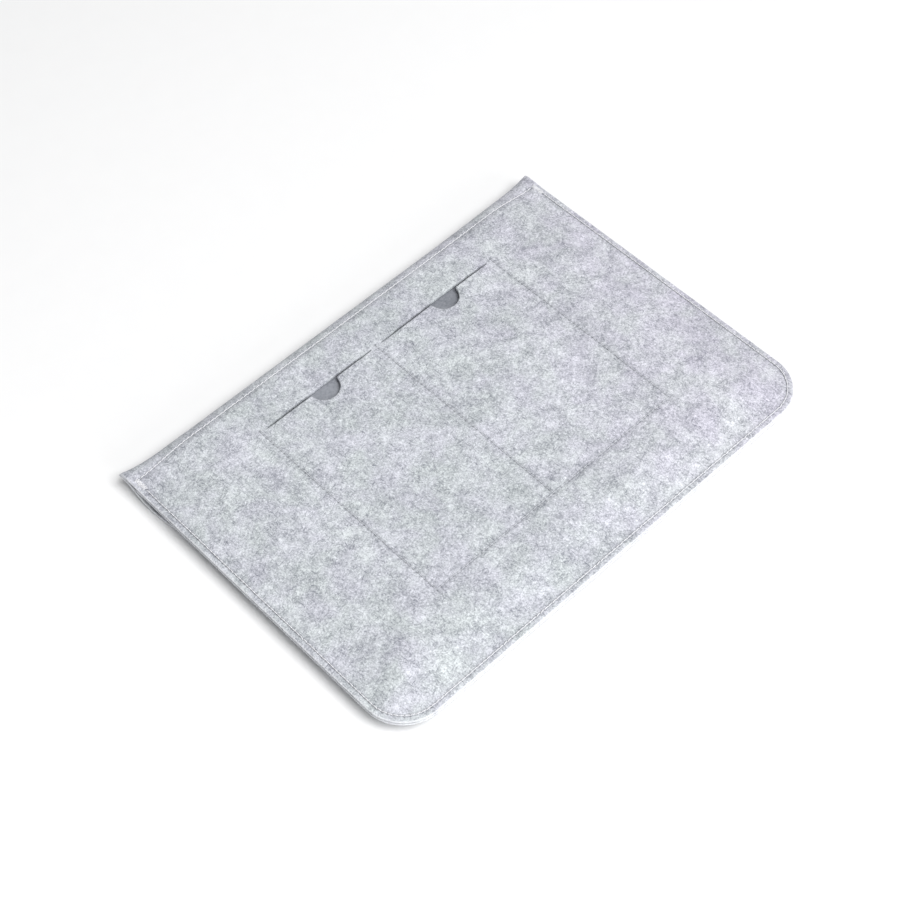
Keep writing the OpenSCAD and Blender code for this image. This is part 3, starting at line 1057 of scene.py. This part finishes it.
front_skin = Skin(front_base, None, front_grooves, front_squeeze, flip=True)
front_outline = inset(resample(body_loop(MOUTH), 1.9), EDGE)
fine = seam_rows((under_perimeter, mouth_seam))
coarse = hex_points((-HALF_X, -HALF_Y), (HALF_X, MOUTH), 3.2)
front_plan = plan_mesh(front_outline, [], fine, coarse)
front_panel = sheet_mesh("front_panel_felt", front_skin, front_plan, FELT)

for obj, nodes in (
    (back_panel, ["back_felt"]),
    (flap_panel, ["fold_felt", "flap_felt"]),
    (front_panel, ["front_felt"]),
):
    dress(obj, FELT_PAINT, None, nodes)
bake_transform(back_panel)
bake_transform(flap_panel)
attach(front_panel, "sleeve")


# ---- linings ----


def well(x, y):
    """The lining lies lower under the pockets, which leaves room for what they hold."""
    inside_x = np.minimum(x - CARD_SIDE - 1, PHONE_SIDE - 1 - x)
    beside_divider = np.abs(x - DIVIDER) - 0.5
    inside_y = np.minimum(y - POCKET_BOTTOM - 1, SLIT + SLIT_OPEN + 5 - y)
    return POCKET_ROOM * ease(np.minimum.reduce([inside_x, beside_divider, inside_y]) / 3)


back_cloth = Skin(wrap_base, cloth_relief)
front_cloth = Skin(front_base, flip=True)


def lining_loop(end):
    return inset(resample(body_loop(end), 3.0), LINING_INSET)


coarse = hex_points((-HALF_X, -HALF_Y), (HALF_X, LINING_END), 2.4)
back_lining_plan = plan_mesh(lining_loop(LINING_END - 0.6), [], bend_rows(98, LINING_END - 2.2), coarse)
cloth_walls = {"round_edge": 0.12, "ragged": 0.05}
back_lining = sheet_mesh(
    "back_lining_cloth", back_cloth, back_lining_plan, LINING, FELT + LINING_GAP, extra=well, **cloth_walls
)
coarse = hex_points((-HALF_X, -HALF_Y), (HALF_X, MOUTH), 2.4)
front_lining_plan = plan_mesh(lining_loop(MOUTH - 1), [], np.zeros((0, 2)), coarse)
front_lining = sheet_mesh(
    "front_lining_cloth", front_cloth, front_lining_plan, LINING, FELT + LINING_GAP + 0.05, **cloth_walls
)
dress(back_lining, LINING_PAINT, "sleeve", ["back_lining"])
dress(front_lining, LINING_PAINT, "sleeve", ["front_lining"])


# ---- stitching ----

# The line of one stitch: place along the seam from its middle, height, and the thread's radius.
STITCH = [
    (-1.52, -0.62, 0.16), (-1.44, -0.3, 0.26), (-1.25, 0.0, 0.31), (-0.95, 0.17, 0.34), (-0.5, 0.27, 0.35),
    (0.0, 0.3, 0.35), (0.5, 0.27, 0.35), (0.95, 0.17, 0.34), (1.25, 0.0, 0.31), (1.44, -0.3, 0.26),
    (1.52, -0.62, 0.16),
]


def stitch_mesh(skin, seam, sink, thick):
    """Lockstitches that rise from one needle hole, lie on the felt and dive into the next."""
    points, slant, jitter = seam.points, 3.0, 4.5
    middle = (points[:-1] + points[1:]) / 2
    way = points[1:] - points[:-1]
    length = np.hypot(*way.T)
    way /= length[:, None]
    turn = np.radians(slant + rng.normal(0, jitter, len(way)))
    way = np.c_[
        way[:, 0] * np.cos(turn) - way[:, 1] * np.sin(turn),
        way[:, 0] * np.sin(turn) + way[:, 1] * np.cos(turn),
    ]
    x, s = middle.T
    centre = skin.at(x, s, sink, 0)
    ahead = skin.at(x + way[:, 0] * 0.6, s + way[:, 1] * 0.6, sink, 0)
    ways = ahead - centre
    ways /= np.linalg.norm(ways, axis=1)[:, None]
    ups = skin.normals(x, s)
    profile = np.array([(a * length.mean() / PITCH, u * thick, r * thick * 0.9, 0) for a, u, r in STITCH])
    return tubes(centre, ways, ups, profile)


def join_parts(parts):
    """Several parts' points, faces and cloth maps as one of each."""
    verts, faces, maps, start = [], [], [], 0
    for part_verts, part_faces, part_map in parts:
        verts.append(part_verts)
        faces += [[start + i for i in face] for face in part_faces]
        maps.append(part_map)
        start += len(part_verts)
    return np.concatenate(verts), faces, np.concatenate(maps)


def add_thread(name, parts, node, body, paint):
    return dress(add_mesh(name, *join_parts(parts)), paint, body, [node])


for seam_name, skin, seam in (
    ("perimeter", back_skin, perimeter),
    ("perimeter_under", front_skin, under_perimeter),
    ("fold", back_skin, fold_seam),
    ("mouth", front_skin, mouth_seam),
    ("card_pocket", back_skin, card_seam),
    ("divider", back_skin, divider_seam),
    ("phone_pocket", back_skin, phone_seam),
    ("pocket_bottom", back_skin, bottom_seam),
):
    pocket = seam in POCKET_SEAMS
    sink, thick = (0.24, 0.62) if pocket else (0.22, 1.0)
    paint = POCKET_THREAD_PAINT if pocket else THREAD_PAINT
    stitches = [stitch_mesh(skin, seam, sink, thick)]
    add_thread(seam_name + "_thread", stitches, seam_name + "_stitching", "sleeve", paint)


def bartack_parts():
    """Dense uneven bars that lock both ends of the perimeter seam."""
    parts = []
    bars = 20
    for side in (-1, 1):
        s = np.linspace(98.4, 106.2, bars) + rng.normal(0, 0.12, bars)
        x = np.full(bars, side * BARTACK_X) + rng.normal(0, 0.3, bars)
        centre = back_skin.at(x, s, 0.12, 0)
        tilt = np.where(np.arange(bars) % 2, 0.5, -0.5) + rng.normal(0, 0.18, bars)
        ahead = back_skin.at(x + 0.8, s + 0.8 * tilt, 0.12, 0)
        ways = ahead - centre
        ways /= np.linalg.norm(ways, axis=1)[:, None]
        profile = [(a, u * 0.9 + 0.14, r * 0.8, 0) for a, u, r in STITCH]
        parts.append(tubes(centre, ways, back_skin.normals(x, s), profile))
    return parts


add_thread("corner_bartack_thread", bartack_parts(), "corner_bartacks", "sleeve", THREAD_PAINT)


# ---- hook and loop tapes ----


def tape_plan():
    """Outline, in the tape's own plan, of a strip with rounded corners."""
    r = 2.0
    w, h = TAPE_LENGTH / 2 - r, TAPE_WIDTH / 2 - r
    loop = arc_points((w, h), r, 0, 90, 8) + arc_points((-w, h), r, 90, 180, 8)
    loop += arc_points((-w, -h), r, 180, 270, 8) + arc_points((w, -h), r, 270, 360, 8)
    outline = inset(resample(np.array(loop), 1.5), 0.12)
    coarse = hex_points((-TAPE_LENGTH / 2, -TAPE_WIDTH / 2), (TAPE_LENGTH / 2, TAPE_WIDTH / 2), 1.6)
    return plan_mesh(outline, [], np.zeros((0, 2)), coarse)


def tape_seam(side):
    """Rectangle of needle holes 2 mm inside a tape."""
    w, h = TAPE_LENGTH / 2 - 2, TAPE_WIDTH / 2 - 2
    cx = side * TAPE_X
    corners = [(cx - w, TAPE_Y - h), (cx + w, TAPE_Y - h), (cx + w, TAPE_Y + h), (cx - w, TAPE_Y + h)]
    return [straight_seam(a, b) for a, b in zip(corners, corners[1:] + corners[:1])]


def tape_base(level, up):
    def base(x, y):
        return np.c_[x, y, np.full(len(x), level)]

    return Skin(base, flip=not up)


def bristles(level, up, hooked):
    """Tiny stems with hooked ends, or a nap of small loose loops, over both tapes."""
    centres, ways = [], []
    step, stray = (1.5, 0.05) if hooked else (1.15, 0.3)
    w, h = TAPE_LENGTH / 2 - 3.0, TAPE_WIDTH / 2 - 3.0
    for side in (-1, 1):
        gx, gy = np.meshgrid(np.arange(-w, w + 0.1, step), np.arange(-h, h + 0.1, step * 0.8))
        x, y = gx.ravel().copy(), gy.ravel().copy()
        x += rng.normal(0, stray, len(x)) + side * TAPE_X
        y += rng.normal(0, stray, len(y)) + TAPE_Y
        centres.append(np.c_[x, y, np.full(len(x), level)])
        if hooked:
            angle = np.where(rng.random(len(x)) < 0.5, 0, math.pi)
        else:
            angle = rng.uniform(0, 2 * math.pi, len(x))
        ways.append(np.c_[np.cos(angle), np.sin(angle), np.zeros(len(x))])
    centres, ways = np.concatenate(centres), np.concatenate(ways)
    ups = np.tile([0, 0, 1.0 if up else -1.0], (len(centres), 1))
    if hooked:
        profile = [
            (-0.12, -0.05, 0.13, 0), (-0.14, 0.2, 0.11, 0), (-0.1, 0.42, 0.1, 0), (0.02, 0.54, 0.1, 0),
            (0.2, 0.55, 0.09, 0), (0.32, 0.44, 0.08, 0), (0.34, 0.33, 0.05, 0),
        ]
        return tubes(centres, ways, ups, profile, 5)
    profile = [
        (-0.5, -0.06, 0.05, 0), (-0.52, 0.18, 0.06, 0.05), (-0.34, 0.4, 0.06, 0.12), (0, 0.5, 0.06, 0.05),
        (0.34, 0.4, 0.06, -0.1), (0.52, 0.18, 0.06, -0.06), (0.5, -0.06, 0.05, 0),
    ]
    return tubes(centres, ways, ups, profile, 4)


def build_tapes(name, node, level, up, hooked, body, paint):
    """Both tapes of one kind: the base a woven strip, and what stands on it."""
    skin = tape_base(level, up)
    plan = tape_plan()
    parts = []
    for side in (-1, 1):
        shifted = (plan[0] + np.array([side * TAPE_X, TAPE_Y]), plan[1], plan[2])
        strip = sheet_mesh(name + "_strip", skin, shifted, TAPE_BASE, 0, 0.12, ragged=0.03)
        co = np.array([v.co for v in strip.data.vertices]) / MM
        parts.append((co, [list(p.vertices) for p in strip.data.polygons], co[:, :2]))
        bpy.data.objects.remove(strip)
    nap, nap_faces, _ = bristles(level, up, hooked)
    parts.append((nap, nap_faces, nap[:, :2]))
    return dress(add_mesh(name, *join_parts(parts)), paint, body, [node])


HOOK_FACE = span("hook_tapes")[0][2] + TAPE_BASE
LOOP_FACE = span("loop_tapes")[1][2] - TAPE_BASE
build_tapes("hook_tape_pair", "hook_tapes", HOOK_FACE, True, True, "flap", HOOK_PAINT)
build_tapes("loop_tape_pair", "loop_tapes", LOOP_FACE, False, False, "sleeve", LOOP_PAINT)
for tape, level, up, body in (
    ("hook_tape", HOOK_FACE, True, "flap"),
    ("loop_tape", LOOP_FACE, False, "sleeve"),
):
    skin = tape_base(level, up)
    parts = [stitch_mesh(skin, seam, 0.02, 0.7) for side in (-1, 1) for seam in tape_seam(side)]
    add_thread(tape + "_thread", parts, tape + "_stitching", body, THREAD_PAINT)


# ---- floor, light, camera ----

low, high = CAD_BOX
length = high.x - low.x
origin = Vector(((low.x + high.x) / 2, (low.y + high.y) / 2, low.z))


def floor_paint():
    paint = Paint("pale_floor", 0.9, 0, 0.5, (1, 1, 1, 1), 0.1)
    speck = paint.noise(paint.add("TexCoord", {}).outputs["Object"], 60, 3, 0.5)
    paint.set(paint.mix(speck, (0.9, 0.9, 0.9, 1), (0.92, 0.92, 0.92, 1)), "Base Color")
    return paint.material


FLOOR_HALF, FLOOR_LEVEL = 14.0, -0.0002
ways = ((-1, -1), (1, -1), (1, 1), (-1, 1))
floor_corners = [(x * FLOOR_HALF, y * FLOOR_HALF, FLOOR_LEVEL) for x, y in ways]
floor_mesh = bpy.data.meshes.new("floor")
floor_mesh.from_pydata(floor_corners, [], [(0, 1, 2, 3)])
floor_mesh.materials.append(floor_paint())
floor = bpy.data.objects.new("floor", floor_mesh)
bpy.context.scene.collection.objects.link(floor)


def area_light(name, place, size, power):
    data = bpy.data.lights.new(name, "AREA")
    data.shape = "DISK"
    data.size = size
    data.energy = power
    lamp = bpy.data.objects.new(name, data)
    lamp.location = origin + Vector(place)
    lamp.rotation_euler = (origin - lamp.location).to_track_quat("-Z", "Y").to_euler()
    bpy.context.scene.collection.objects.link(lamp)


area_light("key", (0.12, -1.4, 2.45), 1.8, 84)
area_light("fill", (-0.14, -3.1, 0.77), 2.2, 36)
world = bpy.data.worlds.new("studio")
bpy.context.scene.world = world
world.use_nodes = True
background = world.node_tree.nodes["Background"]
background.inputs["Color"].default_value = (0.985, 0.99, 1, 1)
background.inputs["Strength"].default_value = 0.29
bpy.context.scene.view_settings.view_transform = "Standard"

# The photo's camera: turn, height and roll in degrees, and its place in lengths of the sleeve.
azimuth, elevation, roll = map(math.radians, (-130.427, 54.862, -3.661))
forward = -Vector(
    (math.cos(elevation) * math.cos(azimuth), math.cos(elevation) * math.sin(azimuth), math.sin(elevation))
)
level_right = forward.cross(Vector((0, 0, 1))).normalized()
level_up = level_right.cross(forward)
right = level_right * math.cos(roll) + level_up * math.sin(roll)
up = level_up * math.cos(roll) - level_right * math.sin(roll)
camera_data = bpy.data.cameras.new("camera")
camera_data.lens = 78.045
camera_data.sensor_width = 36
camera = bpy.data.objects.new("camera", camera_data)
place = origin + length * Vector((-1.33513, -1.50696, 2.8481))
camera.matrix_world = Matrix.Translation(place) @ Matrix((right, up, -forward)).transposed().to_4x4()
bpy.context.scene.collection.objects.link(camera)
bpy.context.scene.camera = camera
